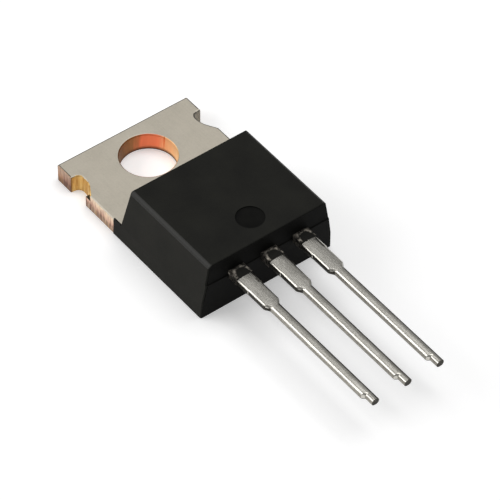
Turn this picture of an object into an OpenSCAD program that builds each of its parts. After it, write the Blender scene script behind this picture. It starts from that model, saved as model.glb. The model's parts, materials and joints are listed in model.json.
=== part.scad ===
// Three-lead power transistor in a moulded package with a copper mounting tab.
// Millimetres. The origin is where the axis of the mounting hole meets the back of the tab.
// +Z points out of the moulded front, +Y to the free edge of the tab, and the leads run to -Y.

/* [Tab] */
// Width of the mounting tab beside the moulding
tab_w = 10.36; // [9.8:0.02:10.8]
// Width over the two ears at the tab's free end, beyond the notches
ear_w = 10.5; // [10.2:0.02:10.8]
// Thickness of the tab and of the plate that carries the die
tab_t = 1.32; // [1.1:0.01:1.5]
// Length of bare tab in front of the moulding
tab_l = 6.84; // [6.2:0.02:7.2]
// Radius of the tab's free corners
tab_corner_r = 0.15; // [0.15:0.01:0.6]
// Diameter of the mounting hole
hole_d = 3.84; // [3.4:0.02:4]
// Distance from the hole's axis to the free edge of the tab
hole_to_edge = 2.86; // [2.5:0.02:3.1]
// Radius that the stamping leaves round the front of the tab and of its hole
roll_r = 0.08; // [0.02:0.01:0.14]

/* [Edge notches] */
// Depth of each notch in the tab's long edges, from the edge beside the moulding
notch_depth = 0.63; // [0.5:0.01:0.9]
// Distance from the hole's axis to the corner where the notch cuts off the ear
notch_start = 1.35; // [1:0.01:1.6]
// Slope of the notch's steep end, in degrees
notch_slope = 8; // [1:1:15]
// Radius in the notch's steep corner
notch_r = 0.42; // [0.1:0.02:0.6]
// Length of the notch's straight floor
notch_floor_l = 0.14; // [0.02:0.02:0.5]
// Radius of the bend from the floor into the sloping end
notch_blend_r = 1.5; // [0.4:0.1:2]
// Angle of the sloping end to the tab's edge
notch_ramp_angle = 31; // [22:1:40]

/* [Moulded body] */
// Width of the body at its underside
body_w = 10.44; // [10:0.02:11]
// Length of the body, between its ends, at the level of the tab's face
body_l = 8.7; // [8.2:0.05:9.4]
// Height of the body above the back of the tab
body_h = 4.46; // [4.2:0.02:4.8]
// Draft of the long sides, up to the level of the tab's face, in degrees
side_land_draft = 3; // [1:0.5:6]
// Draft of the long sides above the tab's face, in degrees
side_draft = 9.6; // [4:0.2:12]
// Draft of the end over the tab, in degrees
tab_end_draft = 8.4; // [4:0.2:12]
// Draft of the lead end above the parting line, in degrees
lead_end_draft_top = 0.5; // [0.5:0.5:8]
// Draft of the lead end below the parting line, in degrees
lead_end_draft_base = 3; // [1:0.5:8]
// Set-back of the lead end's upper half at the parting line
parting_step = 0.06; // [0.02:0.01:0.12]
// Radius of the long top edges
side_edge_r = 0.32; // [0.15:0.01:0.5]
// Radius of the top edges across the two ends
end_edge_r = 0.12; // [0.05:0.01:0.3]
// Diameter of the round mark left by the ejector pin
ejector_d = 1.92; // [1.4:0.02:2.4]
// Depth of the ejector mark
ejector_depth = 0.08; // [0.03:0.01:0.15]
// Radius between the floor and the wall of the ejector mark
ejector_r = 0.05; // [0.01:0.01:0.08]
// Distance from the lead end to the centre of the ejector mark
ejector_from_end = 1.92; // [1.6:0.02:3]

/* [Leads] */
// Spacing of the leads
lead_pitch = 2.54; // [2.4:0.01:2.7]
// Thickness of the leads
lead_t = 0.5; // [0.4:0.01:0.6]
// Height of the leads' underside above the back of the tab
lead_z = 2.58; // [2.2:0.02:2.7]
// Length of the leads outside the body
lead_l = 13.6; // [12:0.1:14.5]
// Width of a lead between the body and the stubs of the cut tie bar
root_w = 1.12; // [0.9:0.01:1.3]
// Length of lead between the body and the stubs of the tie bar
root_l = 0.82; // [0.4:0.02:1.2]
// Width of a lead across the stubs of the tie bar
stub_w = 1.26; // [1.2:0.01:1.4]
// Length of the stubs
stub_l = 1.12; // [0.6:0.02:1.4]
// Width of the broad upper stretch of a lead
wide_w = 1.2; // [1:0.01:1.6]
// Distance from the body to the start of the shoulder
wide_l = 3.45; // [3:0.05:4]
// Length of the shoulder
shoulder_l = 0.5; // [0.3:0.02:0.8]
// Width of the slim stretch of a lead
slim_w = 0.76; // [0.6:0.01:0.9]
// Length of the reduced tip
tip_l = 0.85; // [0.5:0.05:1.5]
// Width of the reduced tip
tip_w = 0.56; // [0.4:0.01:0.6]
// Length of the curved step into the tip
tip_step_l = 0.22; // [0.1:0.01:0.4]
// Radius of a lead's four long edges
lead_edge_r = 0.16; // [0.05:0.01:0.2]
// Thickness of the resin left on the front and back of a lead's root
bleed_t = 0.05; // [0.02:0.01:0.1]

/* [Die plate] */
// Width of the plate inside the body
plate_w = 10.1; // [9.4:0.02:10.2]
// Length of bare tab edge that the moulding covers in front of its end face
skirt_l = 0.74; // [0.3:0.02:1]
// Distance from the plate's far end to the lead end of the body
plate_inset = 2.9; // [2.6:0.05:3.5]
// Width of the bare copper on the back of the body
pad_w = 8.8; // [8:0.05:9.2]
// Depth of the undercut that keys the plate into the resin, from the back
undercut_h = 0.55; // [0.3:0.01:0.7]
// Length of the undercut at the plate's far end
undercut_l = 0.5; // [0.3:0.02:0.8]
// Depth of the keying groove across the plate
groove_depth = 0.2; // [0.1:0.01:0.3]
// Distance from the body's tab end to the keying groove
groove_inset = 0.75; // [0.5:0.05:1.2]

/* [Centre lead inside the body] */
// Angle at which the centre lead climbs from the plate, in degrees
climb_angle = 55; // [40:1:60]
// Inner radius of the bends
bend_r = 0.3; // [0.2:0.02:0.35]
// Width of the centre lead where it leaves the plate
climb_root_w = 2; // [1.6:0.05:2.4]
// Length of flat lead between the plate and the first bend
climb_flat_l = 0.1; // [0.05:0.01:0.2]

/* [Bonding posts] */
// Width of the post at the inner end of each outer lead
post_w = 2.3; // [1.8:0.05:2.5]
// Length of the post
post_l = 1.6; // [1.2:0.05:2]
// Distance from the post's heel to the lead end of the body
post_inset = 1; // [0.7:0.05:1.3]
// Radius of the post's corners
post_r = 0.25; // [0.1:0.01:0.4]

/* [Die] */
// Length of the sides of the square die
die_w = 2.6; // [1.6:0.05:3]
// Thickness of the die
die_t = 0.28; // [0.2:0.01:0.35]
// Thickness of the solder under the die
solder_t = 0.05; // [0.03:0.01:0.08]
// Width of solder that shows round the die
solder_margin = 0.12; // [0.05:0.01:0.3]
// Distance from the body's tab end to the middle of the die
die_inset = 3; // [2.6:0.05:3.2]
// Offset of the two bond pads from the middle of the die
bond_pad_x = 0.65; // [0.5:0.01:0.7]

/* [Bond wires] */
// Diameter of the base bond wire
base_wire_d = 0.25; // [0.2:0.01:0.3]
// Diameter of the emitter bond wire
emitter_wire_d = 0.38; // [0.3:0.01:0.4]
// Rise of a wire's loop above the straight line between its ends
loop_rise = 1.05; // [0.95:0.01:1.1]
// Height of the flattened foot of a bond, as a share of the wire's diameter
foot_flatness = 0.6; // [0.5:0.05:0.8]
// Width of the foot, as a share of the wire's diameter
foot_spread = 1.3; // [1.1:0.05:1.6]
// Length of the foot, as a share of the wire's diameter
foot_stretch = 2.2; // [1.6:0.1:2.4]

/* [Hidden] */

$fn = 64;

// Overshoot of a cutting tool past the face that it cuts
past = 1;

// Stations along Y
tab_top_y = hole_to_edge;
body_tab_y = tab_top_y - tab_l;
body_lead_y = body_tab_y - body_l;
skirt_y = body_tab_y + skirt_l;
plate_end_y = body_lead_y + plate_inset;
die_y = body_tab_y - die_inset;

// Stations along a lead, outside the body
stub_y = body_lead_y - root_l;
stub_end_y = stub_y - stub_l;
shoulder_y = body_lead_y - wide_l;
tip_y = body_lead_y - lead_l;
tip_step_y = tip_y + tip_l;

// Levels along Z
lead_top_z = lead_z + lead_t;
parting_z = lead_z + lead_t / 2;
solder_z = tab_t;
die_z = solder_z + solder_t;
die_top_z = die_z + die_t;

// Half widths of the body, from its underside up
side_base_x = body_w / 2;
side_land_x = side_base_x - tab_t * tan(side_land_draft);
side_top_x = side_land_x - (body_h - tab_t) * tan(side_draft);

// Places of the body's ends at its top and at its underside
tab_end_top_y = body_tab_y - (body_h - tab_t) * tan(tab_end_draft);
lead_end_ledge_y = body_lead_y + parting_step;
lead_end_top_y = lead_end_ledge_y + (body_h - parting_z) * tan(lead_end_draft_top);
lead_end_base_y = body_lead_y + parting_z * tan(lead_end_draft_base);

// Points of an arc in order, end points included
function arc(cx, cy, r, from, to, steps = 8) =
    [for (i = [0:steps]) let (a = from + (to - from) * i / steps) [cx + r * cos(a), cy + r * sin(a)]];

// An S-curve that slides from x0 to x1 while y runs from y0 to y1
function s_curve(x0, y0, x1, y1, steps = 8) =
    [for (i = [0:steps]) [x0 + (x1 - x0) * (1 - cos(180 * i / steps)) / 2, y0 + (y1 - y0) * i / steps]];

// The same points in reverse order
function reversed(points) =
    [for (i = [len(points) - 1:-1:0]) points[i]];

// The same points on the other side of the Y axis, in reverse order
function mirrored(points) =
    [for (p = reversed(points)) [-p[0], p[1]]];

// A closed solid through a stack of rings. Each ring has an even number of points, the same in
// all, and its second half mirrors its first about the ring's middle, so that each end is closed
// by strips between mirrored points. The rings run anticlockwise as seen from the stack's far end
module skin(rings) {
    n = len(rings[0]);
    last = len(rings) - 1;
    points = [for (ring = rings) for (p = ring) p];
    strips = [for (j = [0:n / 2 - 2]) [j, j + 1, n - 2 - j, n - 1 - j]];
    far_strips = [for (strip = strips) [for (j = reversed(strip)) last * n + j]];
    walls = [
        for (i = [0:last - 1])
            for (j = [0:n - 1])
                [i * n + j, (i + 1) * n + j, (i + 1) * n + (j + 1) % n, i * n + (j + 1) % n]
    ];
    polyhedron(points = points, faces = concat(strips, far_strips, walls), convexity = 4);
}

// A shape drawn in the Y-Z plane, given its thickness along X, centred
module across_x(width) {
    rotate([90, 0, 90])
        linear_extrude(height = width, center = true)
            children();
}

// A shape drawn in the X-Z plane, extruded along Y between two stations
module along_y(y_low, y_high) {
    translate([0, y_high, 0])
        rotate([90, 0, 0])
            linear_extrude(height = y_high - y_low)
                children();
}

// ---------------------------------------------------------------- tab and centre lead

// One long edge of the tab, from its free corner to the moulding, with its notch. The edge can
// be moved into the metal by an inset
function tab_edge(inset) =
    let (
        ear_x = ear_w / 2,
        side_x = tab_w / 2,
        floor_x = side_x - notch_depth,
        steep_l = (ear_x - floor_x - notch_r * (1 - sin(notch_slope))) / cos(notch_slope),
        corner_y = notch_start - steep_l * sin(notch_slope) - notch_r * cos(notch_slope),
        blend_y = corner_y - notch_floor_l,
        blend_turn = 180 + notch_ramp_angle,
        ramp_top = [
            floor_x + notch_blend_r + (notch_blend_r + inset) * cos(blend_turn),
            blend_y + (notch_blend_r + inset) * sin(blend_turn)
        ],
        ramp_end_y = ramp_top[1] - (side_x - inset - ramp_top[0]) / tan(notch_ramp_angle)
    )
    concat(
        arc(ear_x - tab_corner_r, tab_top_y - tab_corner_r, tab_corner_r - inset, 90, 0, 4),
        [[ear_x - inset, notch_start + inset * (1 - sin(notch_slope)) / cos(notch_slope)]],
        arc(floor_x + notch_r, corner_y, notch_r + inset, 90 + notch_slope, 180, 6),
        arc(floor_x + notch_blend_r, blend_y, notch_blend_r + inset, 180, blend_turn, 5),
        [[side_x - inset, ramp_end_y], [side_x - inset, skirt_y]]
    );

function tab_outline(inset = 0) =
    let (half = tab_edge(inset))
    concat(half, mirrored(half));

// The tab's outline as a ring on the rolled front, at an angle round the roll
function roll_ring(angle) =
    let (inset = roll_r * (1 - cos(angle)), z = tab_t - roll_r * (1 - sin(angle)))
    [for (p = reversed(tab_outline(inset))) [p[0], p[1], z]];

// The rolled front of the tab: its outline drawn in as it rises
module tab_front() {
    skin([for (angle = [0:30:90]) roll_ring(angle)]);
}

// The mounting hole, with the stamping's radius at the front
module mounting_hole() {
    r = hole_d / 2;
    rotate_extrude()
        polygon(concat(
            [[0, -past], [r, -past]],
            arc(r + roll_r, tab_t - roll_r, roll_r, 180, 90, 4),
            [[r + roll_r, tab_t + past], [0, tab_t + past]]
        ));
}

// The bare tab, with the mounting hole
module tab() {
    difference() {
        union() {
            linear_extrude(height = tab_t - roll_r)
                polygon(tab_outline());
            tab_front();
        }
        mounting_hole();
    }
}

// The die plate: as thick as the tab, narrower below so that the resin grips it
module plate() {
    upper_l = skirt_y - plate_end_y;
    difference() {
        union() {
            translate([-plate_w / 2, plate_end_y, undercut_h])
                cube([plate_w, upper_l, tab_t - undercut_h]);
            translate([-pad_w / 2, plate_end_y + undercut_l, 0])
                cube([pad_w, upper_l - undercut_l, tab_t]);
        }
        translate([0, body_tab_y - groove_inset, tab_t])
            rotate([45, 0, 0])
                cube([plate_w + 2 * past, groove_depth * sqrt(2), groove_depth * sqrt(2)], center = true);
    }
}

// One face of the bent strip, seen from the side: first_r and second_r are its radii in the two bends
function strip_face(first_r, second_r) =
    let (
        mid_r = bend_r + lead_t / 2,
        rise = lead_top_z - tab_t,
        slope_l = (rise - 2 * mid_r * (1 - cos(climb_angle))) / sin(climb_angle),
        run = 2 * mid_r * sin(climb_angle) + slope_l * cos(climb_angle),
        first_y = plate_end_y - climb_flat_l,
        second_y = first_y - run
    )
    concat(
        [[plate_end_y, tab_t + bend_r - first_r]],
        arc(first_y, tab_t + bend_r, first_r, -90, -90 - climb_angle),
        arc(second_y, lead_z - bend_r, second_r, 90 - climb_angle, 90),
        [[body_lead_y, lead_z - bend_r + second_r]]
    );

// Side view of the bent strip that joins the plate to the centre lead
module climb_profile() {
    under = strip_face(bend_r + lead_t, bend_r);
    over = strip_face(bend_r, bend_r + lead_t);
    polygon(concat(under, reversed(over)));
}

// Plan of the centre lead inside the body, tapering from the plate to the lead's root
module climb_plan() {
    heel_y = body_lead_y + post_inset;
    polygon([
        [-climb_root_w / 2, plate_end_y],
        [-root_w / 2, heel_y],
        [-root_w / 2, body_lead_y],
        [root_w / 2, body_lead_y],
        [root_w / 2, heel_y],
        [climb_root_w / 2, plate_end_y]
    ]);
}

module climb() {
    intersection() {
        across_x(climb_root_w)
            climb_profile();
        linear_extrude(height = lead_top_z)
            climb_plan();
    }
}

// What the resin holds of the collector's frame
module collector_core() {
    plate();
    climb();
    root();
}

module collector_frame() {
    color([0.69, 0.66, 0.61])
        union() {
            tab();
            collector_core();
            outer_lead();
        }
}

// ---------------------------------------------------------------- leads

// Half the width of a lead at each station outside its root, from the stubs to the cut tip
function lead_edge() =
    concat(
        [[stub_w / 2, stub_y], [stub_w / 2, stub_end_y], [wide_w / 2, stub_end_y - (stub_w - wide_w)]],
        s_curve(wide_w / 2, shoulder_y, slim_w / 2, shoulder_y - shoulder_l),
        s_curve(slim_w / 2, tip_step_y, tip_w / 2, tip_step_y - tip_step_l, 5),
        [[tip_w / 2, tip_y]]
    );

// Where the middle of a lead's section lies at a station: the tip is cut back on its -X side only
function section_x(half_w, y) =
    y > tip_step_y ? 0 : slim_w / 2 - half_w;

// Section of a lead with round edges, at one station
function lead_ring(half_w, y) =
    let (mid = section_x(half_w, y), x = half_w - lead_edge_r, z = lead_t / 2 - lead_edge_r)
    concat(
        [for (p = arc(mid + x, z, lead_edge_r, 0, 90, 3)) [p[0], y, parting_z + p[1]]],
        [for (p = arc(mid - x, z, lead_edge_r, 90, 180, 3)) [p[0], y, parting_z + p[1]]],
        [for (p = arc(mid - x, -z, lead_edge_r, 180, 270, 3)) [p[0], y, parting_z + p[1]]],
        [for (p = arc(mid + x, -z, lead_edge_r, 270, 360, 3)) [p[0], y, parting_z + p[1]]]
    );

// A lead from the stubs of the tie bar to its tip, on the Y axis
module outer_lead() {
    skin([for (p = lead_edge()) lead_ring(p[0], p[1])]);
}

// The square-edged root of a lead, between the body and the stubs
module root() {
    translate([-root_w / 2, stub_y, lead_z])
        cube([root_w, root_l, lead_t]);
}

// A rectangle with round corners, whose low edge is centred on the origin
module rounded_plate(width, length, r) {
    half = concat(
        arc(width / 2 - r, r, r, -90, 0, 6),
        arc(width / 2 - r, length - r, r, 0, 90, 6)
    );
    polygon(concat(half, mirrored(half)));
}

// The bonding post of an outer lead, with the neck that joins it to the lead
module post() {
    translate([0, body_lead_y, lead_z])
        linear_extrude(height = lead_t) {
            translate([-root_w / 2, 0])
                square([root_w, post_inset + post_r]);
            translate([0, post_inset])
                rounded_plate(post_w, post_l, post_r);
        }
}

// What the resin holds of an outer lead
module side_lead_core() {
    root();
    post();
}

// An outer lead with its post
module side_lead() {
    color([0.66, 0.65, 0.61])
        union() {
            outer_lead();
            side_lead_core();
        }
}

module base_lead() {
    translate([-lead_pitch, 0, 0])
        side_lead();
}

module emitter_lead() {
    translate([lead_pitch, 0, 0])
        side_lead();
}

// ---------------------------------------------------------------- die and bond wires

module die() {
    color([0.35, 0.37, 0.42])
        translate([-die_w / 2, die_y - die_w / 2, die_z])
            cube([die_w, die_w, die_t]);
}

module die_attach_solder() {
    solder_w = die_w + 2 * solder_margin;
    color([0.6, 0.6, 0.6])
        translate([-solder_w / 2, die_y - solder_w / 2, solder_z])
            cube([solder_w, solder_w, solder_t]);
}

// A bond wire of diameter d from a post to a pad on the die. side is -1 or 1
module bond_wire(side, d) {
    foot_h = foot_flatness * d;
    foot_w = foot_spread * d;
    foot_l = foot_stretch * d;
    post_point = [side * lead_pitch, body_lead_y + post_inset + post_l / 2];
    pad_point = [side * bond_pad_x, die_y];
    span = pad_point - post_point;
    reach = norm(span);
    drop = lead_top_z - die_top_z;
    chord = norm([reach, drop]);
    loop_r = (chord * chord / 4 + loop_rise * loop_rise) / (2 * loop_rise);
    sink = loop_r - loop_rise;
    centre_u = reach / 2 - sink * drop / chord;
    centre_z = lead_top_z - drop / 2 + foot_h / 2 - sink * reach / chord;
    half_angle = asin(chord / 2 / loop_r);
    lean = atan2(reach, drop);

    translate([post_point[0], post_point[1], 0])
        rotate([0, 0, atan2(span[1], span[0])])
            difference() {
                union() {
                    translate([centre_u, 0, centre_z])
                        rotate([90, 0, 0])
                            rotate([0, 0, lean - half_angle])
                                rotate_extrude(angle = 2 * half_angle)
                                    translate([loop_r, 0])
                                        circle(d = d);
                    translate([-foot_l / 2, -foot_w / 2, lead_top_z])
                        cube([foot_l, foot_w, foot_h]);
                    translate([reach - foot_l / 2, -foot_w / 2, die_top_z])
                        cube([foot_l, foot_w, foot_h]);
                }
                translate([-past, -past, lead_top_z - past])
                    cube([2 * past, 2 * past, past]);
                translate([reach - past, -past, die_top_z - past])
                    cube([2 * past, 2 * past, past]);
            }
}

module base_bond_wire() {
    color([0.8, 0.8, 0.82])
        bond_wire(-1, base_wire_d);
}

module emitter_bond_wire() {
    color([0.8, 0.8, 0.82])
        bond_wire(1, emitter_wire_d);
}

// ---------------------------------------------------------------- moulded body

// Side view of the body: parting line at the leads, skirt beside the tab at the foot
module body_side_profile() {
    slope_tab = 90 - tab_end_draft;
    slope_lead = 90 - lead_end_draft_top;
    tab_edge_y = tab_end_top_y - end_edge_r * tan(slope_tab / 2);
    lead_edge_y = lead_end_top_y + end_edge_r * tan(slope_lead / 2);
    polygon(concat(
        [[lead_end_base_y, 0], [skirt_y, 0], [skirt_y, tab_t], [body_tab_y, tab_t]],
        arc(tab_edge_y, body_h - end_edge_r, end_edge_r, tab_end_draft, 90, 6),
        arc(lead_edge_y, body_h - end_edge_r, end_edge_r, 90, 180 - lead_end_draft_top, 6),
        [[lead_end_ledge_y, parting_z], [body_lead_y, parting_z]]
    ));
}

// End view of the body: a steep land beside the tab, then the drafted side and its round edge
module body_end_profile() {
    slope = 90 - side_draft;
    edge_x = side_top_x - side_edge_r * tan(slope / 2);
    half = concat(
        arc(edge_x, body_h - side_edge_r, side_edge_r, 90, side_draft, 10),
        [[side_land_x, tab_t], [side_base_x, 0]]
    );
    polygon(concat(half, mirrored(half)));
}

// The shallow round mark of the ejector pin, as the tool that leaves it
module ejector_mark() {
    r = ejector_d / 2;
    translate([0, body_lead_y + ejector_from_end, body_h - ejector_depth])
        rotate_extrude()
            polygon(concat(
                [[0, 0]],
                arc(r - ejector_r, ejector_r, ejector_r, -90, 0, 6),
                [[r, past], [0, past]]
            ));
}

// The resin that creeps along the roots of the leads, as far as the stubs of the tie bar
module bleed() {
    for (i = [-1:1])
        translate([i * lead_pitch - stub_w / 2, stub_y, lead_z - bleed_t])
            cube([stub_w, root_l + parting_step + bleed_t, lead_t + 2 * bleed_t]);
}

module mould_body() {
    color([0.13, 0.13, 0.12])
        difference() {
            union() {
                intersection() {
                    across_x(2 * body_w)
                        body_side_profile();
                    along_y(body_lead_y - past, skirt_y + past)
                        body_end_profile();
                }
                bleed();
            }
            ejector_mark();
            collector_core();
            for (side = [-1, 1])
                translate([side * lead_pitch, 0, 0])
                    side_lead_core();
            die();
            die_attach_solder();
            base_bond_wire();
            emitter_bond_wire();
        }
}

mould_body();
collector_frame();
base_lead();
emitter_lead();
die();
die_attach_solder();
base_bond_wire();
emitter_bond_wire();
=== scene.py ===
import json
import math

import bmesh
import bpy
from mathutils import Matrix, Vector


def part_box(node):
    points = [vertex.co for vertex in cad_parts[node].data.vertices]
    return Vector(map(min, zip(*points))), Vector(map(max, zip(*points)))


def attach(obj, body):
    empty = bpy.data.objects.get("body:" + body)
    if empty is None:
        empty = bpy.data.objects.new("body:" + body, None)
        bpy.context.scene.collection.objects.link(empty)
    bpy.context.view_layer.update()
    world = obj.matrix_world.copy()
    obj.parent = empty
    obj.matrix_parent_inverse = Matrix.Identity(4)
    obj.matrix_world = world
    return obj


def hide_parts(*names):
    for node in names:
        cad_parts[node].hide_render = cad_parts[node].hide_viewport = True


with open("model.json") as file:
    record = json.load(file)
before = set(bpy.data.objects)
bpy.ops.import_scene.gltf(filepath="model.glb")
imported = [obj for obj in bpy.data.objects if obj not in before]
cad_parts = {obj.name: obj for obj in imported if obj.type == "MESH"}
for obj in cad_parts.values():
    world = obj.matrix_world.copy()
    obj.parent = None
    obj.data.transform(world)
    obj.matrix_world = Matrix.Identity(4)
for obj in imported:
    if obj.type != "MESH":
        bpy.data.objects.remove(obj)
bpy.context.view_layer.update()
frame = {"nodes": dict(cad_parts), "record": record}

# Sizes are in millimetres. A finished piece is brought to metres by this factor, because edit tools
# would merge the points of so small an object if it were modelled in metres.
MM = 0.001

# ---------------------------------------------------------------- sizes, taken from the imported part


def corners(cad_node):
    """Lowest and highest corner of a CAD node, in millimetres."""
    low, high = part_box(cad_node)
    return low / MM, high / MM


frame_high = corners("collector_frame")[1]
mould_low, mould_high = corners("mould_body")
base_low, base_high = corners("base_lead")
solder_low = corners("die_attach_solder")[0]

# The tab. Its back is at Z 0, its ears are a little wider than its sides beside the body, and
# the solder lies on its face.
HOLE_R = frame["record"]["mounts"][0]["dims"]["r_mm"]
ROUND_SIDES = 96
EAR_X = frame_high.x
SIDE_X = 5.18
TAB_Y = frame_high.y
TAB_T = solder_low.z
TAB_CORNER = 0.15
ROLL_R = 0.11

# The notches between the ears and the sides. Each has a steep side at the ear, a round corner, a
# short floor, and a ramp that has run out to the side at RAMP_END_Y.
NOTCH_Y = 1.35
NOTCH_DEPTH = 0.63
NOTCH_SLOPE = math.radians(8)
NOTCH_R = 0.42
NOTCH_FLOOR = 0.14
BLEND_R = 1.5
RAMP_ANGLE = math.radians(31)
RAMP_L = 2.2
RAMP_END_Y = -0.9

# The moulded body. It covers the tab's edges from the skirt on, and the roots of the leads.
BODY_X = mould_high.x
BODY_H = mould_high.z
SKIRT_Y = mould_high.y
SKIRT_L = 0.74
BODY_TAB_Y = SKIRT_Y - SKIRT_L
STUB_Y = mould_low.y
ROOT_L = 0.82
BODY_LEAD_Y = STUB_Y + ROOT_L

# Levels and places of the leads.
LEAD_Z = base_low.z
LEAD_TOP_Z = base_high.z
LEAD_T = LEAD_TOP_Z - LEAD_Z
PARTING_Z = (LEAD_Z + LEAD_TOP_Z) / 2
TIP_Y = base_low.y
LEAD_PITCH = (base_low.x + base_high.x) / -2

# The plate in the body, which carries the die.
PLATE_X = 5.05
PAD_X = 4.4
PLATE_END_Y = BODY_LEAD_Y + 2.9
UNDERCUT_H = 0.55
UNDERCUT_L = 0.5
GROOVE = 0.2
GROOVE_Y = BODY_TAB_Y - 0.75

# The bonding posts of the outer leads.
POST_X = (base_high.x - base_low.x) / 2
POST_END_Y = base_high.y
POST_L = 1.6
POST_R = 0.25
HEEL_Y = POST_END_Y - POST_L
NECK_L = 0.05

# The strip that climbs from the plate to the centre lead.
CLIMB_ANGLE = math.radians(55)
CLIMB_X = 1.0
BEND_R = 0.3

# Half widths and lengths along a lead, from its root to its tip.
ROOT_X = 0.56
STUB_X = 0.63
STUB_L = 1.12
STUB_STEP = 0.03
WIDE_X = 0.6
WIDE_L = 3.45
SHOULDER_Y = BODY_LEAD_Y - WIDE_L
SHOULDER_L = 0.5
SHOULDER_STEPS = 10
SLIM_X = 0.38
TIP_X = 0.28
TIP_L = 0.85
TIP_STEP_Y = TIP_Y + TIP_L
TIP_STEP_L = 0.22

# Widths of the bevels that round a lead's long edges, on its wide and on its slim stretch.
LEAD_EDGE_R = 0.16
SLIM_EDGE_R = 0.22

# ---------------------------------------------------------------- tools for materials


def srgb(code):
    """Linear colour of an sRGB hex code."""
    parts = [int(code[i:i + 2], 16) / 255 for i in (1, 3, 5)]
    return tuple(c / 12.92 if c <= 0.04045 else ((c + 0.055) / 1.055) ** 2.4 for c in parts) + (1,)


def node(tree, kind, inputs=None, **settings):
    """Adds a shader node. Settings are its own, inputs are values or the sockets that feed them. A
    Mix node has its share at input 0 and its colours at 6 and 7."""
    new = tree.nodes.new("ShaderNode" + kind)
    for name, value in settings.items():
        setattr(new, name, value)
    for name, value in (inputs or {}).items():
        if isinstance(value, bpy.types.NodeSocket):
            tree.links.new(value, new.inputs[name])
        else:
            new.inputs[name].default_value = value
    return new


def stops(ramp, *pairs):
    """Sets the stops of a colour ramp to pairs of place and hex colour."""
    elements = ramp.color_ramp.elements
    while len(elements) < len(pairs):
        elements.new(0.5)
    for element, (place, colour) in zip(elements, pairs):
        element.position = place
        element.color = srgb(colour)


def empty_material(name):
    """A material without nodes, its tree, and the place on the part in millimetres, so that the scale
    of a pattern is the number of its grains or lines in a millimetre."""
    made = bpy.data.materials.new(name)
    made.use_nodes = True
    tree = made.node_tree
    tree.nodes.clear()
    place = node(tree, "TexCoord")
    in_mm = node(tree, "Mapping", {"Vector": place.outputs["Object"], "Scale": (1 / MM, 1 / MM, 1 / MM)})
    return made, tree, in_mm.outputs["Vector"]


# ---------------------------------------------------------------- materials


def epoxy_matt(name, tones, roughness, specular):
    """Black filled epoxy as it leaves the mould: matt, with the fine grain of the spark-eroded tool.
    Its copy on the sides is painted a little greyer, as painted light, and its copy on the round
    edges is smoother and glossier and painted a little lighter, as part of their soft grey
    highlights. The real grain is about 0.03 mm wide, too fine to show, and is drawn 0.11 mm wide.
    The clouds are 2 mm wide."""
    made, tree, at = empty_material(name)
    grain = node(tree, "TexNoise", {"Vector": at, "Scale": 9, "Detail": 3, "Roughness": 0.6})
    cloud = node(tree, "TexNoise", {"Vector": at, "Scale": 0.5, "Detail": 3})
    tone = node(
        tree, "Mix", {0: 0.35, 6: cloud.outputs["Fac"], 7: grain.outputs["Fac"]}, data_type="RGBA"
    )
    colour = node(tree, "ValToRGB", {"Fac": tone.outputs[2]})
    stops(colour, *zip((0.3, 0.7), tones))
    bump = node(tree, "Bump", {"Height": grain.outputs["Fac"], "Strength": 0.35, "Distance": 0.02 * MM})
    shader = node(tree, "BsdfPrincipled", {
        "Base Color": colour.outputs["Color"], "Roughness": roughness, "Specular IOR Level": specular,
        "Normal": bump.outputs["Normal"],
    })
    node(tree, "OutputMaterial", {"Surface": shader.outputs[0]})
    return made


def epoxy_smooth_and_shaded():
    """Epoxy shaped by bare polished steel on the ejector mark, blacker than the spark-eroded faces, with
    faint clouds under 1 mm wide. The same black covers the lead end as painted shade."""
    made, tree, at = empty_material("epoxy_black_smooth_and_painted_shade")
    cloud = node(tree, "TexNoise", {"Vector": at, "Scale": 1.5, "Detail": 3})
    colour = node(tree, "ValToRGB", {"Fac": cloud.outputs["Fac"]})
    stops(colour, (0.3, "#0a0a09"), (0.7, "#11110f"))
    shader = node(tree, "BsdfPrincipled", {
        "Base Color": colour.outputs["Color"], "Roughness": 0.7, "Specular IOR Level": 0.08,
    })
    node(tree, "OutputMaterial", {"Surface": shader.outputs[0]})
    return made


def epoxy_flash():
    """Thin resin bled over the roots of the leads, rubbed thin on its rims, where the metal shows
    through in grey patches 0.3 mm wide."""
    made, tree, at = empty_material("epoxy_flash_rubbed")
    worn = node(tree, "TexNoise", {"Vector": at, "Scale": 3.2, "Detail": 4, "Roughness": 0.65})
    bare = node(tree, "ValToRGB", {"Fac": worn.outputs["Fac"]})
    stops(bare, (0.42, "#000000"), (0.66, "#ffffff"))
    resin = node(tree, "BsdfPrincipled", {
        "Base Color": srgb("#1b1a17"), "Roughness": 0.65, "Specular IOR Level": 0.15,
    })
    metal = node(tree, "BsdfPrincipled", {"Base Color": srgb("#8b857c"), "Metallic": 1, "Roughness": 0.5})
    both = node(tree, "MixShader", {0: bare.outputs["Color"], 1: resin.outputs[0], 2: metal.outputs[0]})
    node(tree, "OutputMaterial", {"Surface": both.outputs[0]})
    return made


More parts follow.
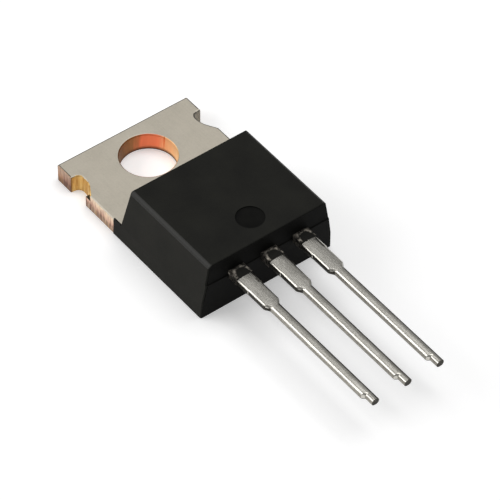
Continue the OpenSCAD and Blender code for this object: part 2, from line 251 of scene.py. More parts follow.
def tin_satin(name, tones, roughness, grain, crown):
    """Satin tin plating on copper: a warm grey metal, with the fine lines of the rolled strip along
    the part, a faint cloudiness and some grain. The leads are grainier than the tab, and their
    faces are very slightly crowned, so that they are lighter on one side than on the other. The
    real lines and grain are about 0.02 mm wide, too fine to show. The lines are drawn 0.07 mm apart
    and the grain 0.09 mm wide."""
    made, tree, at = empty_material(name)
    lines = node(tree, "Mapping", {"Vector": at, "Scale": (14, 0.9, 14)})
    drawn = node(tree, "TexNoise", {
        "Vector": lines.outputs["Vector"], "Scale": 1, "Detail": 4, "Roughness": 0.6,
    })
    cloud = node(tree, "TexNoise", {"Vector": at, "Scale": 0.7, "Detail": 3})
    fine = node(tree, "TexNoise", {"Vector": at, "Scale": 11, "Detail": 2})
    tone = node(
        tree, "Mix", {0: 0.5, 6: cloud.outputs["Fac"], 7: drawn.outputs["Fac"]}, data_type="RGBA"
    )
    grainy = node(tree, "Mix", {0: grain, 6: tone.outputs[2], 7: fine.outputs["Fac"]}, data_type="RGBA")
    colour = node(tree, "ValToRGB", {"Fac": grainy.outputs[2]})
    stops(colour, *zip((0.3, 0.5, 0.7), tones))
    rough = node(tree, "MapRange", {
        "Value": drawn.outputs["Fac"], "To Min": roughness - 0.07, "To Max": roughness + 0.07,
    })
    height = node(
        tree, "Mix", {0: grain, 6: drawn.outputs["Fac"], 7: fine.outputs["Fac"]}, data_type="RGBA"
    )
    split = node(tree, "SeparateXYZ", {"Vector": at})
    across = node(tree, "Math", {0: split.outputs["X"], 1: math.tau / LEAD_PITCH}, operation="MULTIPLY")
    arch = node(tree, "Math", {0: across.outputs["Value"]}, operation="COSINE")
    domed = node(tree, "Bump", {"Height": arch.outputs["Value"], "Strength": 1, "Distance": crown * MM})
    bump = node(tree, "Bump", {
        "Height": height.outputs[2], "Strength": 0.3, "Distance": 0.012 * MM,
        "Normal": domed.outputs["Normal"],
    })
    shader = node(tree, "BsdfPrincipled", {
        "Base Color": colour.outputs["Color"], "Metallic": 1, "Roughness": rough.outputs["Result"],
        "Normal": bump.outputs["Normal"],
    })
    node(tree, "OutputMaterial", {"Surface": shader.outputs[0]})
    return made


def tin_painted_shade(name, tones, roughness):
    """Dull metal painted darker as shade and dark reflection, on rolled edges, flanks and cut ends
    turned from the light, in patches 0.17 mm wide."""
    made, tree, at = empty_material(name)
    patchy = node(tree, "TexNoise", {"Vector": at, "Scale": 6, "Detail": 3})
    colour = node(tree, "ValToRGB", {"Fac": patchy.outputs["Fac"]})
    stops(colour, *zip((0.35, 0.65), tones))
    shader = node(tree, "BsdfPrincipled", {
        "Base Color": colour.outputs["Color"], "Metallic": 1, "Roughness": roughness,
    })
    node(tree, "OutputMaterial", {"Surface": shader.outputs[0]})
    return made


def copper_sheared():
    """The tab's stamped sides, cut after plating: a burnished pink-tan band above, where the punch slid,
    and a darker torn band below, streaked brown and yellow from front to back. The streaks are 0.2 mm
    wide. The sides of the ears are darker."""
    made, tree, at = empty_material("copper_sheared")
    streaks = node(tree, "Mapping", {"Vector": at, "Scale": (5, 5, 0.8)})
    drag = node(tree, "TexNoise", {
        "Vector": streaks.outputs["Vector"], "Scale": 1, "Detail": 4, "Roughness": 0.6,
    })
    split = node(tree, "SeparateXYZ", {"Vector": at})
    wavy = node(tree, "MapRange", {"Value": drag.outputs["Fac"], "To Min": -0.35, "To Max": 0.35})
    level = node(tree, "Math", {0: split.outputs["Z"], 1: wavy.outputs["Result"]}, operation="ADD")
    share = node(tree, "Math", {0: level.outputs["Value"], 1: TAB_T}, operation="DIVIDE")
    colour = node(tree, "ValToRGB", {"Fac": share.outputs["Value"]})
    stops(
        colour,
        (0.0, "#6c5649"), (0.34, "#977866"), (0.46, "#d4a994"), (0.75, "#f0d8bf"), (1.0, "#f0e6d2"),
    )
    stain = node(tree, "ValToRGB", {"Fac": drag.outputs["Fac"]})
    stops(stain, (0.36, "#80655a"), (0.46, "#cca892"), (0.54, "#f0dcc0"), (0.62, "#dcb06c"))
    stained = node(
        tree, "Mix", {0: 0.45, 6: colour.outputs["Color"], 7: stain.outputs["Color"]}, data_type="RGBA"
    )
    ear = node(tree, "MapRange", {"Value": split.outputs["Y"], "From Min": 0.9, "From Max": 1.3})
    darker_ears = node(
        tree, "Mix", {0: ear.outputs["Result"], 6: stained.outputs[2], 7: srgb("#cbbdb9")},
        data_type="RGBA", blend_type="MULTIPLY",
    )
    bump = node(tree, "Bump", {"Height": drag.outputs["Fac"], "Strength": 0.6, "Distance": 0.03 * MM})
    shader = node(tree, "BsdfPrincipled", {
        "Base Color": darker_ears.outputs[2], "Metallic": 1, "Roughness": 0.55,
        "Normal": bump.outputs["Normal"],
    })
    node(tree, "OutputMaterial", {"Surface": shader.outputs[0]})
    return made


def copper_notch():
    """The left notch: yellow, bright bare copper with streaks 0.17 mm wide, and a dark red-brown corner
    where it meets the ear."""
    made, tree, at = empty_material("copper_bright_cut")
    streaks = node(tree, "Mapping", {"Vector": at, "Scale": (6, 6, 0.9)})
    drag = node(tree, "TexNoise", {"Vector": streaks.outputs["Vector"], "Scale": 1, "Detail": 3})
    colour = node(tree, "ValToRGB", {"Fac": drag.outputs["Fac"]})
    stops(colour, (0.3, "#bf9050"), (0.5, "#e0b870"), (0.7, "#ecd090"))
    split = node(tree, "SeparateXYZ", {"Vector": at})
    corner = node(tree, "MapRange", {
        "Value": split.outputs["X"], "From Min": -EAR_X, "From Max": -EAR_X + 0.16,
    })
    shade = node(
        tree, "Mix", {0: corner.outputs["Result"], 6: srgb("#5e3a28"), 7: colour.outputs["Color"]},
        data_type="RGBA",
    )
    bump = node(tree, "Bump", {"Height": drag.outputs["Fac"], "Strength": 0.5, "Distance": 0.02 * MM})
    shader = node(tree, "BsdfPrincipled", {
        "Base Color": shade.outputs[2], "Metallic": 1, "Roughness": 0.55,
        "Normal": bump.outputs["Normal"],
    })
    node(tree, "OutputMaterial", {"Surface": shader.outputs[0]})
    return made


def copper_hole():
    """The punched wall of the mounting hole: red-orange copper, painted browner on the side turned from
    the light and more golden on the side that faces it, as painted light and shade, with streaks
    0.3 mm wide from front to back and a dark torn lip at the back."""
    made, tree, at = empty_material("copper_hole_wall")
    streaks = node(tree, "Mapping", {"Vector": at, "Scale": (3, 3, 0.5)})
    drag = node(tree, "TexNoise", {
        "Vector": streaks.outputs["Vector"], "Scale": 1, "Detail": 3, "Roughness": 0.5,
    })
    split = node(tree, "SeparateXYZ", {"Vector": at})
    wavy = node(tree, "MapRange", {"Value": drag.outputs["Fac"], "To Min": -0.5, "To Max": 0.5})
    # Painted light and shade: golden on the side that faces the light, browner on the other.
    across = node(tree, "VectorMath", {0: at, 1: (0.785, -0.62, 0)}, operation="DOT_PRODUCT")
    place = node(tree, "Math", {0: across.outputs["Value"], 1: wavy.outputs["Result"]}, operation="ADD")
    share = node(tree, "MapRange", {
        "Value": place.outputs["Value"], "From Min": -HOLE_R, "From Max": HOLE_R,
    })
    painted_light_hue = node(tree, "ValToRGB", {"Fac": share.outputs["Result"]})
    stops(
        painted_light_hue, (0.0, "#7c5c3c"), (0.22, "#a8784e"), (0.4, "#f08a62"), (0.64, "#ff966a"), (0.76, "#ffbe88"),
        (1.0, "#ffd8a0"),
    )
    depth = node(tree, "MapRange", {"Value": split.outputs["Z"], "From Min": 0.05, "From Max": 0.3})
    shade = node(
        tree, "Mix", {0: depth.outputs["Result"], 6: srgb("#6a4836"), 7: painted_light_hue.outputs["Color"]},
        data_type="RGBA",
    )
    bump = node(tree, "Bump", {"Height": drag.outputs["Fac"], "Strength": 0.4, "Distance": 0.02 * MM})
    shader = node(tree, "BsdfPrincipled", {
        "Base Color": shade.outputs[2], "Metallic": 1, "Roughness": 0.6,
        "Normal": bump.outputs["Normal"],
    })
    node(tree, "OutputMaterial", {"Surface": shader.outputs[0]})
    return made


def torn_shadow():
    """The top of the torn lip at the foot of the left notch: rough copper painted dark as shade, with a
    grain 0.12 mm wide."""
    made, tree, at = empty_material("copper_torn_painted_shade")
    grain = node(tree, "TexNoise", {"Vector": at, "Scale": 8, "Detail": 3})
    colour = node(tree, "ValToRGB", {"Fac": grain.outputs["Fac"]})
    stops(colour, (0.35, "#1f1a0c"), (0.7, "#4a4630"))
    shader = node(tree, "BsdfPrincipled", {
        "Base Color": colour.outputs["Color"], "Metallic": 0.3, "Roughness": 0.7,
    })
    node(tree, "OutputMaterial", {"Surface": shader.outputs[0]})
    return made


def silicon_polished():
    """The polished silicon of the die: dark blue-grey, smooth enough to mirror, with a haze in
    patches 0.5 mm wide."""
    made, tree, at = empty_material("silicon_polished")
    haze = node(tree, "TexNoise", {"Vector": at, "Scale": 2, "Detail": 2})
    colour = node(tree, "ValToRGB", {"Fac": haze.outputs["Fac"]})
    stops(colour, (0.3, "#3f434c"), (0.7, "#4b505c"))
    shader = node(tree, "BsdfPrincipled", {
        "Base Color": colour.outputs["Color"], "Metallic": 1, "Roughness": 0.15,
    })
    node(tree, "OutputMaterial", {"Surface": shader.outputs[0]})
    return made


def solder_dull():
    """Soft solder under the die: grey and dull, with a slightly frosted skin of crystals 0.08 mm
    wide."""
    made, tree, at = empty_material("solder_dull")
    frost = node(tree, "TexNoise", {"Vector": at, "Scale": 12, "Detail": 3})
    colour = node(tree, "ValToRGB", {"Fac": frost.outputs["Fac"]})
    stops(colour, (0.3, "#8d8e90"), (0.7, "#a6a7a8"))
    shader = node(tree, "BsdfPrincipled", {
        "Base Color": colour.outputs["Color"], "Metallic": 1, "Roughness": 0.5,
    })
    node(tree, "OutputMaterial", {"Surface": shader.outputs[0]})
    return made


def aluminium_drawn():
    """Drawn bond wire: pale, clean aluminium with a soft sheen that varies every 0.05 mm."""
    made, tree, at = empty_material("aluminium_drawn")
    lines = node(tree, "TexNoise", {"Vector": at, "Scale": 20, "Detail": 2})
    rough = node(tree, "MapRange", {"Value": lines.outputs["Fac"], "To Min": 0.25, "To Max": 0.35})
    shader = node(tree, "BsdfPrincipled", {
        "Base Color": srgb("#d4d5d8"), "Metallic": 1, "Roughness": rough.outputs["Result"],
    })
    node(tree, "OutputMaterial", {"Surface": shader.outputs[0]})
    return made


EPOXY = epoxy_matt("epoxy_black_matt", ("#1a1a18", "#242420"), 0.75, 0.12)
# The sides get a lighter copy of the epoxy: painted light.
EPOXY_SIDE_PAINTED_LIGHT = epoxy_matt("epoxy_black_sides_painted_light", ("#272724", "#32312d"), 0.75, 0.12)
# The round edges get a smoother, glossier copy, painted a little lighter as part of their highlight.
EPOXY_EDGE_PAINTED_HIGHLIGHT = epoxy_matt("epoxy_black_smoother_painted_highlight", ("#1e1e1c", "#292925"), 0.5, 0.34)
FLASH = epoxy_flash()
TIN = tin_satin("tin_plating_satin", ("#c0baac", "#cbc4b6", "#d3ccbe"), 0.56, 0.3, 0)
LEAD_TIN = tin_satin("tin_plating_leads", ("#a3a199", "#c8c5bd", "#e4e1d9"), 0.27, 0.45, 0.07)
SLIM_TIN = tin_satin("tin_plating_slim_leads", ("#a3a199", "#c8c5bd", "#e4e1d9"), 0.27, 0.45, 0.22)
# Painted shade and dark reflection on the right edges, undersides and ends of the leads, and on the left
# flanks of their wide parts.
LEAD_FLANK_PAINTED_SHADE = tin_painted_shade("tin_flanks_painted_shade", ("#2b2a25", "#45423c"), 0.45)
# Painted shade on the left flanks of the slim stretches.
SLIM_FLANK_PAINTED_SHADE = tin_painted_shade("tin_slim_flanks_painted_shade", ("#8c8880", "#a29e95"), 0.45)
# Painted shade on the tab's rolled edges at its free end and right side.
ROLLED_EDGE_PAINTED_SHADE = tin_painted_shade("tin_edges_painted_shade", ("#5e5a52", "#77736a"), 0.4)
# Painted shade on the notch walls; the left notch keeps its bright copper.
CUT_PAINTED_SHADE = tin_painted_shade("copper_cut_painted_shade", ("#746c60", "#989082"), 0.5)
# Polished-steel epoxy on the ejector mark, and painted shade on the body's lead end.
EPOXY_SMOOTH_AND_SHADE = epoxy_smooth_and_shaded()
SHEARED = copper_sheared()
BRIGHT_CUT = copper_notch()
# The hole's wall is painted lighter on the side that faces the light.
HOLE_WALL = copper_hole()
# Painted shade on the top of the torn lip.
TORN_PAINTED_SHADE = torn_shadow()

WIRE = aluminium_drawn()
for cad_node, material in (
    ("die", silicon_polished()),
    ("die_attach_solder", solder_dull()),
    ("base_bond_wire", WIRE),
    ("emitter_bond_wire", WIRE),
):
    frame["nodes"][cad_node].material_slots[0].material = material

# ---------------------------------------------------------------- tools for modelling


def leave_edit_mode():
    """Back to object mode, with nothing selected."""
    if bpy.context.mode != "OBJECT":
        bpy.ops.object.mode_set(mode="OBJECT")
    bpy.ops.object.select_all(action="DESELECT")


def edit(piece):
    """Opens one piece in edit mode."""
    leave_edit_mode()
    piece.select_set(True)
    bpy.context.view_layer.objects.active = piece
    bpy.ops.object.mode_set(mode="EDIT")
    bpy.ops.mesh.select_all(action="DESELECT")


def new_box(name, low, high):
    """A box between two corners, open in edit mode."""
    leave_edit_mode()
    centre = [(a + b) / 2 for a, b in zip(low, high)]
    size = [b - a for a, b in zip(low, high)]
    bpy.ops.mesh.primitive_cube_add(size=1, location=centre, scale=size)
    box = bpy.context.object
    box.name = name
    bpy.ops.object.transform_apply(location=True, rotation=False, scale=True)
    edit(box)
    return box


def new_cylinder(name, radius, centre, height, sides):
    """A cylinder that stands on its centre point, open in edit mode."""
    leave_edit_mode()
    middle = (centre[0], centre[1], centre[2] + height / 2)
    bpy.ops.mesh.primitive_cylinder_add(radius=radius, depth=height, location=middle, vertices=sides)
    cylinder = bpy.context.object
    cylinder.name = name
    bpy.ops.object.transform_apply(location=True, rotation=False, scale=False)
    edit(cylinder)
    return cylinder


def pick_faces(test):
    """Selects the faces of the open piece for which test(normal, middle) holds."""
    bpy.ops.mesh.select_mode(type="FACE")
    bpy.ops.mesh.select_all(action="DESELECT")
    mesh = bmesh.from_edit_mesh(bpy.context.object.data)
    for face in mesh.faces:
        face.select_set(bool(test(face.normal, face.calc_center_median())))
    bmesh.update_edit_mesh(bpy.context.object.data)


def pick_edges(test):
    """Selects the edges of the open piece for which test(end, other_end, normals) holds."""
    bpy.ops.mesh.select_mode(type="EDGE")
    bpy.ops.mesh.select_all(action="DESELECT")
    mesh = bmesh.from_edit_mesh(bpy.context.object.data)
    for edge in mesh.edges:
        a, b = (v.co for v in edge.verts)
        if test(a, b, [face.normal for face in edge.link_faces]):
            edge.select_set(True)
    mesh.select_flush_mode()
    bmesh.update_edit_mesh(bpy.context.object.data)


def near(a, b, tolerance=0.002):
    """Whether two measures are the same, in millimetres."""
    return abs(a - b) < tolerance


def along(a, b, x=None, y=None, z=None):
    """Whether both ends of an edge lie at the given places, on either side of the Y axis."""
    return all(
        (x is None or near(abs(end.x), x))
        and (y is None or near(end.y, y))
        and (z is None or near(end.z, z))
        for end in (a, b)
    )


def upright(a, b):
    """Whether an edge rises."""
    return abs(a.z - b.z) > 0.1


def extrude(x=0, y=0, z=0):
    """Extrudes the selection by a step."""
    bpy.ops.mesh.extrude_region_move(TRANSFORM_OT_translate={"value": (x, y, z)})


def move(x=0, y=0, z=0):
    """Moves the selection by a step."""
    bpy.ops.transform.translate(value=(x, y, z))


def widen(share, centre_x=0):
    """Scales the selection along X about a centre."""
    bpy.ops.transform.resize(value=(share, 1, 1), center_override=(centre_x, 0, 0))


def bevel(width, segments):
    """Rounds the selected edges."""
    bpy.ops.mesh.bevel(
        offset=width, offset_type="OFFSET", segments=segments, affect="EDGES", clamp_overlap=False
    )


def combine(piece, other, operation):
    """Cuts or joins another object into a piece, and removes the other."""
    leave_edit_mode()
    bpy.context.view_layer.objects.active = piece
    modifier = piece.modifiers.new(operation.lower(), "BOOLEAN")
    modifier.operation = operation
    modifier.solver = "EXACT"
    modifier.object = other
    bpy.ops.object.modifier_apply(modifier=modifier.name)
    bpy.data.objects.remove(other)


def copy_of(piece):
    """A copy with a mesh of its own."""
    twin = piece.copy()
    twin.data = piece.data.copy()
    bpy.context.scene.collection.objects.link(twin)
    return twin


def weigh(test, width, widest):
    """Marks edges for bevel_marked, with the width wanted there as a share of the widest."""
    pick_edges(test)
    bpy.ops.transform.edge_bevelweight(value=width / widest)


def bevel_marked(piece, widest, segments):
    """Rounds the edges that weigh() marked, each to its own width."""
    leave_edit_mode()
    bpy.context.view_layer.objects.active = piece
    modifier = piece.modifiers.new("edges", "BEVEL")
    modifier.limit_method = "WEIGHT"
    modifier.width = widest
    modifier.segments = segments
    modifier.use_clamp_overlap = False
    bpy.ops.object.modifier_apply(modifier=modifier.name)


def paint(piece, *coats):
    """Gives a piece its materials. The first covers it, and each later one comes with a test of
    the faces that it covers."""
    edit(piece)
    for place, coat in enumerate(coats):
        material, test = coat if isinstance(coat, tuple) else (coat, lambda normal, middle: True)
        bpy.ops.object.material_slot_add()
        piece.material_slots[place].material = material
        pick_faces(test)
        piece.active_material_index = place
        bpy.ops.object.material_slot_assign()
    leave_edit_mode()


# Faces that meet at less than this angle are shaded as one smooth surface.
SMOOTH_BELOW = math.radians(35)


def finish(piece, cad_node):
    """Smooths a piece, brings it to metres, says what it rides on and hides the CAD node that it stands
    for.
    """
    edit(piece)
    bpy.ops.mesh.select_all(action="SELECT")
    bpy.ops.mesh.remove_doubles(threshold=0.0005)
    bpy.ops.mesh.dissolve_degenerate(threshold=0.0002)
    leave_edit_mode()
    piece.select_set(True)
    bpy.context.view_layer.objects.active = piece
    bpy.ops.object.shade_smooth_by_angle(angle=SMOOTH_BELOW)
    modifier = piece.modifiers.new("flat faces", "WEIGHTED_NORMAL")
    modifier.keep_sharp = True
    modifier.weight = 80
    bpy.ops.object.modifier_apply(modifier=modifier.name)
    piece.scale = (MM, MM, MM)
    bpy.ops.object.transform_apply(location=True, rotation=True, scale=True)
    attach(piece, "root")
    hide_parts(cad_node)


# ---------------------------------------------------------------- leads


def s_curve(from_y, from_x, length, to_x, steps):
    """Stations of a smooth step in a lead's half width."""
    turns = [math.pi * i / steps for i in range(1, steps + 1)]
    return [
        (from_y - length * i / steps, from_x + (to_x - from_x) * (1 - math.cos(turn)) / 2)
        for i, turn in enumerate(turns, 1)
    ]


LEAD_STATIONS = (
    [
        (STUB_Y - STUB_STEP, STUB_X),
        (STUB_Y - STUB_L, STUB_X),
        (STUB_Y - STUB_L - (STUB_X - WIDE_X), WIDE_X),
        (SHOULDER_Y, WIDE_X),
    ]
    + s_curve(SHOULDER_Y, WIDE_X, SHOULDER_L, SLIM_X, SHOULDER_STEPS)
    + [(TIP_STEP_Y, SLIM_X)]
    + s_curve(TIP_STEP_Y, SLIM_X, TIP_STEP_L, TIP_X, 6)
    + [(TIP_Y, TIP_X)]
)


def draw_lead(x):
    """Draws a lead out of the selected end of its root, from the stubs to the tip. The tip is cut
    back on its -X side only."""
    at_y, half_width = STUB_Y, ROOT_X
    for y, wanted in LEAD_STATIONS:
        extrude(y=y - at_y)
        widen(wanted / half_width, x if y >= TIP_STEP_Y else x + SLIM_X)
        at_y, half_width = y, wanted


def round_lead(lead):
    """Rounds the long edges of a lead, more on its slim stretch than on its wide one."""
    def between(high_y, low_y):
        """A test for the long edges from one place down to another."""
        return lambda a, b, normals: (
            max(a.y, b.y) < high_y + 0.002 and min(a.y, b.y) > low_y - 0.002 and abs(a.y - b.y) > 0.005
        )
    weigh(between(HEEL_Y, SHOULDER_Y), LEAD_EDGE_R, SLIM_EDGE_R)
    step = SHOULDER_L / SHOULDER_STEPS
    for i in range(SHOULDER_STEPS):
        high_y = SHOULDER_Y - step * i
        radius = LEAD_EDGE_R + (SLIM_EDGE_R - LEAD_EDGE_R) * (i + 0.5) / SHOULDER_STEPS
        weigh(between(high_y, high_y - step), radius, SLIM_EDGE_R)
    weigh(between(SHOULDER_Y - SHOULDER_L, TIP_Y), SLIM_EDGE_R, SLIM_EDGE_R)
    bevel_marked(lead, SLIM_EDGE_R, 6)


def side_lead(name, x):
    """An outer lead: its root, the broad bonding post inside the resin, and the lead itself."""
    lead = new_box(name, (x - ROOT_X, STUB_Y, LEAD_Z), (x + ROOT_X, HEEL_Y, LEAD_TOP_Z))
    pick_faces(lambda normal, middle: normal.y > 0.99)
    extrude(y=NECK_L)
    widen(POST_X / ROOT_X, x)
    extrude(y=POST_END_Y - HEEL_Y - NECK_L)
    pick_edges(lambda a, b, normals: upright(a, b) and near(abs(a.x - x), POST_X))
    bevel(POST_R, 6)
    pick_faces(lambda normal, middle: near(middle.y, STUB_Y))
    draw_lead(x)
    round_lead(lead)
    return lead


# The burr, from its inner to its outer side, its height, the depth to which it is sunk, and the
# share of its width and length that is left at its crest.
BURR_IN = 0.03
BURR_OUT = 0.05
BURR_H = 0.035
BURR_SUNK = 0.12
BURR_CREST = (0.35, 0.92, 1)

# The dent beside the burr: its width and depth, how much sooner it ends than the burr does, and the
# share of its width and length that is left at its bottom.
DENT_W = 0.1
DENT_DEPTH = 0.06
DENT_END = 0.06
DENT_BOTTOM = (0.3, 0.8, 1)


def add_burr(lead, x, from_y, to_y):
    """The burr that shearing the tie bar left along a stub's upper edge, with the dent beside it."""
    burr_x = x + STUB_X - LEAD_EDGE_R
    middle_y = (from_y + to_y) / 2
    dent = new_box(
        "dent",
        (burr_x - BURR_IN - DENT_W, to_y + DENT_END, LEAD_TOP_Z - DENT_DEPTH),
        (burr_x - BURR_IN, from_y - DENT_END, LEAD_TOP_Z + 0.1),
    )
    pick_faces(lambda normal, middle: normal.z < -0.99)
    bpy.ops.transform.resize(value=DENT_BOTTOM, center_override=(burr_x - 0.05, middle_y, 0))
    leave_edit_mode()
    combine(lead, dent, "DIFFERENCE")
    burr = new_box(
        "burr",
        (burr_x - BURR_IN, to_y, LEAD_TOP_Z - BURR_SUNK),
        (burr_x + BURR_OUT, from_y, LEAD_TOP_Z + BURR_H),
    )
    pick_faces(lambda normal, middle: normal.z > 0.99)
    bpy.ops.transform.resize(value=BURR_CREST, center_override=(burr_x, middle_y, 0))
    leave_edit_mode()
    combine(lead, burr, "UNION")


# The base lead's burr runs along the lower half of its stub, and the emitter lead's along all of it.
base_lead = side_lead("base_lead_tinned", -LEAD_PITCH)
add_burr(base_lead, -LEAD_PITCH, STUB_Y - 0.49, STUB_Y - 1.06)
emitter_lead = side_lead("emitter_lead_tinned", LEAD_PITCH)
add_burr(emitter_lead, LEAD_PITCH, STUB_Y - 0.05, STUB_Y - STUB_L)

# ---------------------------------------------------------------- collector frame


def centre_lead():
    """The strip that climbs from the plate and leaves the body as the centre lead."""
    first_y = PLATE_END_Y - 0.1
    mid_r = BEND_R + LEAD_T / 2
    rise = LEAD_TOP_Z - TAB_T
    slope = (rise - 2 * mid_r * (1 - math.cos(CLIMB_ANGLE))) / math.sin(CLIMB_ANGLE)
    run = 2 * mid_r * math.sin(CLIMB_ANGLE) + slope * math.cos(CLIMB_ANGLE)
    second_y = first_y - run
    end_y = HEEL_Y - 0.06
    strip = new_box(
        "centre_lead", (-CLIMB_X, first_y, TAB_T - LEAD_T), (CLIMB_X, PLATE_END_Y + 0.3, TAB_T)
    )
    pick_faces(lambda normal, middle: normal.y < -0.99)
    bpy.ops.mesh.spin(steps=8, angle=CLIMB_ANGLE, center=(0, first_y, TAB_T + BEND_R), axis=(1, 0, 0))
    extrude(y=-slope * math.cos(CLIMB_ANGLE), z=slope * math.sin(CLIMB_ANGLE))
    bpy.ops.mesh.spin(steps=8, angle=-CLIMB_ANGLE, center=(0, second_y, LEAD_Z - BEND_R), axis=(1, 0, 0))
    extrude(y=end_y - second_y)
    for side in (-1, 1):
        taper = Vector((side * (PLATE_END_Y - end_y), ROOT_X - CLIMB_X, 0)).normalized()
        bpy.ops.mesh.select_all(action="SELECT")
        bpy.ops.mesh.bisect(
            plane_co=(side * CLIMB_X, PLATE_END_Y, 0), plane_no=taper,
            use_fill=True, clear_outer=True, threshold=1e-5,
        )
    bpy.ops.mesh.select_all(action="SELECT")
    bpy.ops.mesh.normals_make_consistent(inside=False)
    pick_faces(lambda normal, middle: near(middle.y, end_y) and normal.y < -0.99)
    extrude(y=STUB_Y - end_y)
    draw_lead(0)
    round_lead(strip)
    return strip


def notch_cutter():
    """The outline of both edge notches: a round steep corner by the ear, and a sloping end."""
    floor_x = SIDE_X - NOTCH_DEPTH
    outer_x = EAR_X + 1
    lean = math.tan(NOTCH_SLOPE)
    steep_foot_y = NOTCH_Y - (EAR_X - floor_x) * lean
    steep_l = (EAR_X - floor_x - NOTCH_R * (1 - math.sin(NOTCH_SLOPE))) / math.cos(NOTCH_SLOPE)
    corner_y = NOTCH_Y - steep_l * math.sin(NOTCH_SLOPE) - NOTCH_R * math.cos(NOTCH_SLOPE)
    blend_l = BLEND_R * math.tan(RAMP_ANGLE / 2)
    ramp_y = corner_y - NOTCH_FLOOR - blend_l

    cutter = new_box("notch", (floor_x, ramp_y, -1), (outer_x, steep_foot_y, 2 * TAB_T))
    pick_edges(lambda a, b, normals: along(a, b, x=outer_x, y=steep_foot_y))
    move(y=(outer_x - floor_x) * lean)
    pick_faces(lambda normal, middle: normal.y < -0.99)
    extrude(y=-RAMP_L)
    foot_y = ramp_y - RAMP_L
    pick_edges(lambda a, b, normals: along(a, b, x=floor_x, y=foot_y))
    move(x=RAMP_L * math.tan(RAMP_ANGLE))
    pick_edges(lambda a, b, normals: along(a, b, x=floor_x, y=steep_foot_y))
    bevel(NOTCH_R * math.tan((math.pi / 2 - NOTCH_SLOPE) / 2), 8)
    pick_edges(lambda a, b, normals: along(a, b, x=floor_x, y=ramp_y))
    bevel(blend_l, 8)
    leave_edit_mode()
    modifier = cutter.modifiers.new("both edges", "MIRROR")
    modifier.merge_threshold = 0.0001
    bpy.context.view_layer.objects.active = cutter
    bpy.ops.object.modifier_apply(modifier=modifier.name)
    return cutter


# The torn lip, from its upper end down along the side, its width and its height.
NICK_Y = -0.2
NICK_L = 0.52
NICK_W = 0.4
NICK_TOP = 0.85


def nick_stub():
    """The torn lip at the foot of the left notch, left standing lower than the tab's face."""
    lip = new_box("lip", (-SIDE_X, NICK_Y - NICK_L, 0), (-SIDE_X + NICK_W, NICK_Y, NICK_TOP))
    pick_edges(lambda a, b, normals: along(a, b, x=SIDE_X - NICK_W, y=NICK_Y - NICK_L))
    move(x=-NICK_W + 0.05)
    leave_edit_mode()
    return lip


def keying_groove():
    """The V groove across the plate that keys the resin to it: a box whose foot is drawn together."""
    groove = new_box(
        "groove",
        (-PLATE_X - 1, GROOVE_Y - 2 * GROOVE, TAB_T - GROOVE),
        (PLATE_X + 1, GROOVE_Y + 2 * GROOVE, TAB_T + GROOVE),
    )
    pick_faces(lambda normal, middle: normal.z < -0.99)
    bpy.ops.transform.resize(value=(1, 0.01, 1), center_override=(0, GROOVE_Y, 0))
    leave_edit_mode()
    return groove


def tab_and_plate():
    """The thick part of the frame: the drilled and notched tab, and the plate that the resin holds."""
    tab = new_box("collector_frame_tinned", (-SIDE_X, SKIRT_Y, 0), (SIDE_X, TAB_Y, TAB_T))
    bpy.ops.mesh.select_all(action="SELECT")
    # The ears begin level with a corner of the hole's outline, so that no short edge is left on it.
    ear_foot_y = HOLE_R * math.sin(6 * math.tau / ROUND_SIDES)
    bpy.ops.mesh.bisect(plane_co=(0, ear_foot_y, 0), plane_no=(0, 1, 0), threshold=1e-5)
    for side in (-1, 1):
        pick_faces(lambda normal, middle: normal.x * side > 0.99 and middle.y > ear_foot_y)
        extrude(x=side * (EAR_X - SIDE_X))
    pick_edges(lambda a, b, normals: upright(a, b) and along(a, b, x=EAR_X, y=TAB_Y))
    bevel(TAB_CORNER, 4)
    leave_edit_mode()
    combine(tab, notch_cutter(), "DIFFERENCE")
    combine(tab, new_cylinder("hole", HOLE_R, (0, 0, -1), 3 * TAB_T, ROUND_SIDES), "DIFFERENCE")
    edit(tab)

    def is_front_edge(a, b, normals):
        """The edges round the front of the tab, in front of the resin."""
        flat = [n for n in normals if n.z > 0.99]
        steep = [n for n in normals if abs(n.z) < 0.1]
        return flat and steep and along(a, b, z=TAB_T) and max(a.y, b.y) > SKIRT_Y + 0.01
    pick_edges(is_front_edge)
    bevel(ROLL_R, 4)
    leave_edit_mode()
    combine(tab, nick_stub(), "UNION")
    plate = new_box("plate", (-PLATE_X, PLATE_END_Y, UNDERCUT_H), (PLATE_X, SKIRT_Y + 0.2, TAB_T))
    combine(tab, plate, "UNION")
    pad = new_box("pad", (-PAD_X, PLATE_END_Y + UNDERCUT_L, 0), (PAD_X, SKIRT_Y + 0.2, UNDERCUT_H + 0.1))
    combine(tab, pad, "UNION")
    combine(tab, keying_groove(), "DIFFERENCE")
    return tab


collector_frame = tab_and_plate()
combine(collector_frame, centre_lead(), "UNION")

# ---------------------------------------------------------------- moulded body

# Drafts of the mould, as slopes.
LAND_DRAFT = math.tan(math.radians(3))
SIDE_DRAFT = math.tan(math.radians(9.6))
TAB_END_DRAFT = math.tan(math.radians(8.4))
LEAD_END_DRAFT = math.tan(math.radians(3))
LEAD_END_TOP_DRAFT = math.tan(math.radians(0.5))

